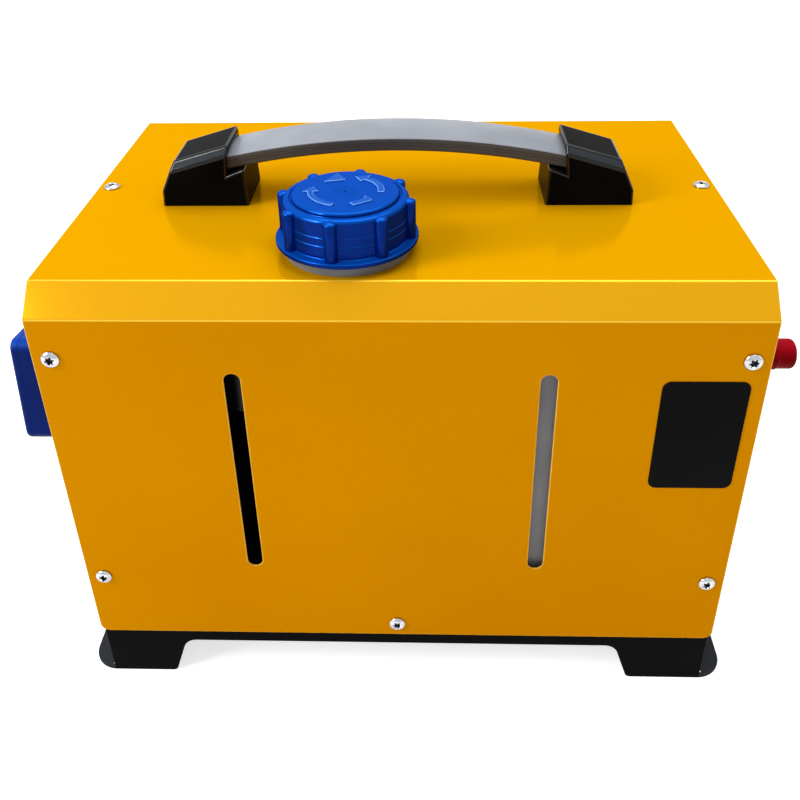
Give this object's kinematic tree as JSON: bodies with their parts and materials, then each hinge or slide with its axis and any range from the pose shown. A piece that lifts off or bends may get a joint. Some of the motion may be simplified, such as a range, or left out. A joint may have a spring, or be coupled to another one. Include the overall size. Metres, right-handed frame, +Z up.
{
  "type": "diesel air heater",
  "caption": "Portable diesel air heater in a folded sheet-metal case with a carrying handle, fuel tank, screw cap, controller, hot-air spigot and bolt-down feet.",
  "frame": {"origin": "centre of the four foot bolt holes, on the ground plane", "axes": "+Z up, +X towards the hot-air end, -Y towards the front with the fuel tank"},
  "size_m": [0.4294, 0.278, 0.3282],
  "materials": {
    "yellow_sheet": "semi-gloss powder coat",
    "black_sheet": "satin powder coat",
    "zinc_steel": "zinc plated",
    "grip_grey": "satin moulded, fine grain",
    "black_plastic": "moulded, satin to gloss",
    "tank_plastic": "translucent blow-moulded",
    "foam_rubber": "matt",
    "ring_plastic": "moulded",
    "cap_blue": "glossy moulded",
    "cast_aluminium": "as cast",
    "heat_steel": "stainless, heat tinted",
    "filter_clear": "translucent",
    "controller_blue": "semi-gloss moulded",
    "display_dark": "glossy pane",
    "key_grey": "satin",
    "terminal_brass": "turned",
    "boot_red": "soft vinyl, matt",
    "boot_black": "soft vinyl, matt"
  },
  "bodies": {
    "heater": {"back_screws": "zinc_steel", "base_tray": "black_sheet", "blower_housing": "cast_aluminium", "burner": "heat_steel", "burner_line": "foam_rubber", "combustion_air_pipe": "heat_steel", "control_unit": "black_plastic", "controller_back": "controller_blue", "controller_board": "black_plastic", "controller_display": "display_dark", "controller_front": "controller_blue", "controller_holder": "black_plastic", "core_gasket": "foam_rubber", "core_lower_shell": "black_plastic", "core_nuts": "zinc_steel", "core_studs": "zinc_steel", "core_upper_shell": "black_plastic", "cover": "yellow_sheet", "duct_ring": "black_plastic", "duct_screws": "zinc_steel", "end_panel_left": "yellow_sheet", "end_panel_right": "yellow_sheet", "exhaust_pipe": "heat_steel", "filter_clip": "zinc_steel", "front_screws": "zinc_steel", "fuel_filter": "filter_clear", "fuel_pump": "zinc_steel", "fuel_tank": "tank_plastic", "glow_plug": "heat_steel", "handle_cap_left": "black_plastic", "handle_cap_right": "black_plastic", "handle_grip": "grip_grey", "handle_screws": "zinc_steel", "heat_exchanger": "cast_aluminium", "intake_guard": "black_plastic", "motor": "cast_aluminium", "neck_ring": "ring_plastic", "outlet_hood": "black_plastic", "pump_bracket": "zinc_steel", "pump_clamp": "foam_rubber", "pump_line": "foam_rubber", "tank_line": "foam_rubber", "tank_outlet": "tank_plastic", "tank_pads": "foam_rubber", "terminal_bushes": "black_plastic", "terminal_post_negative": "terminal_brass", "terminal_post_positive": "terminal_brass", "top_screws": "zinc_steel"},
    "cap_lift": {"cap_seal": "foam_rubber"},
    "cap": {"fuel_cap": "cap_blue"},
    "rotor": {"rotor_shaft": "zinc_steel", "hot_air_fan": "black_plastic", "combustion_wheel": "cast_aluminium"},
    "boot_red": {"terminal_boot_red": "boot_red"},
    "boot_black": {"terminal_boot_black": "boot_black"},
    "key_1": {"controller_button_1": "key_grey"},
    "key_2": {"controller_button_2": "key_grey"},
    "key_3": {"controller_button_3": "key_grey"},
    "key_4": {"controller_button_4": "key_grey"}
  },
  "joints": [
    {"name": "cap_rise", "type": "slide", "parent": "heater", "child": "cap_lift", "axis": [0, 0, 1], "range_m": [0, 0.009]},
    {"name": "cap_turn", "type": "hinge", "parent": "cap_lift", "child": "cap", "pos_m": [-0.0281, -0.0833, 0.306], "axis": [0, 0, 1], "range_deg": [0, 541]},
    {"name": "fan_spin", "type": "hinge", "parent": "heater", "child": "rotor", "pos_m": [-0.12, 0.052, 0.126], "axis": [1, 0, 0], "continuous": true},
    {"name": "key_1_press", "type": "slide", "parent": "heater", "child": "key_1", "axis": [1, 0, 0], "range_m": [0, 0.0008], "stiffness_N_per_m": 1200, "springref_m": -0.0002},
    {"name": "key_2_press", "type": "slide", "parent": "heater", "child": "key_2", "axis": [1, 0, 0], "range_m": [0, 0.0008], "stiffness_N_per_m": 1200, "springref_m": -0.0002},
    {"name": "key_3_press", "type": "slide", "parent": "heater", "child": "key_3", "axis": [1, 0, 0], "range_m": [0, 0.0008], "stiffness_N_per_m": 1200, "springref_m": -0.0002},
    {"name": "key_4_press", "type": "slide", "parent": "heater", "child": "key_4", "axis": [1, 0, 0], "range_m": [0, 0.0008], "stiffness_N_per_m": 1200, "springref_m": -0.0002},
    {"name": "boot_red_pull", "type": "slide", "parent": "heater", "child": "boot_red", "axis": [1, 0, 0], "range_m": [0, 0.022]},
    {"name": "boot_black_pull", "type": "slide", "parent": "heater", "child": "boot_black", "axis": [1, 0, 0], "range_m": [0, 0.022]}
  ],
  "couplings": [
    {"joint": "cap_turn", "follows": "cap_rise", "rad_per_m": 1047.2}
  ]
}
